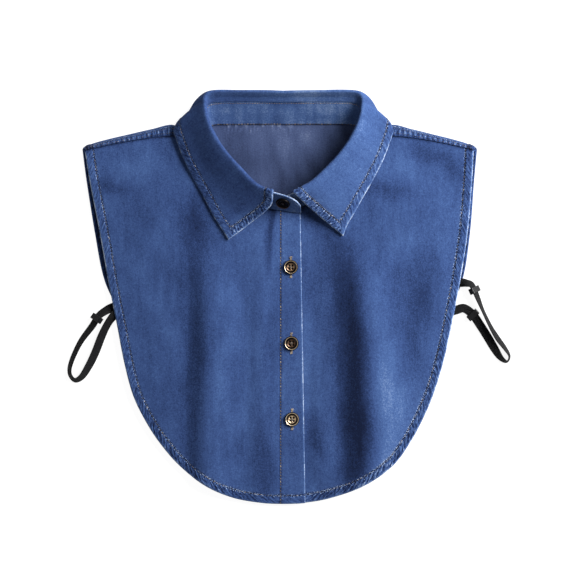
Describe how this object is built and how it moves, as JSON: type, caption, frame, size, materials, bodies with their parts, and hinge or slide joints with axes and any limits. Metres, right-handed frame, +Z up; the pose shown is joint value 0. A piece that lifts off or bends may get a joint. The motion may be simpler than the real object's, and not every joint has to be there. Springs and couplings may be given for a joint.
{
  "type": "detachable shirt collar",
  "caption": "Detachable denim shirt collar with point collar, button-front bib, back bib and elastic side straps",
  "frame": {"origin": "the resting face's mount, on the underside of the back bib", "axes": "+X across the shoulders towards the wearer's left, +Y towards the back of the neck, +Z up from the surface that the collar lies on"},
  "size_m": [0.4077, 0.3781, 0.0314],
  "materials": {
    "denim": "washed blue denim twill with worn edges",
    "denim_back": "wrong side of the denim, paler and greyer",
    "antique_gold": "antique gold, dark in the recess",
    "black_elastic": "flat black elastic webbing",
    "black_plastic": "glossy black plastic"
  },
  "bodies": {
    "root": {"back_panel": "denim_back", "front_right": "denim", "front_left": "denim", "collar_stand": "denim", "collar_leaf": "denim", "button_collar": "antique_gold", "button_upper": "antique_gold", "button_middle": "antique_gold", "button_lower": "antique_gold", "strap_left": "black_elastic", "strap_right": "black_elastic", "slider_left": "black_plastic", "keeper_right": "black_plastic", "slider_right": "black_plastic"}
  },
  "joints": []
}
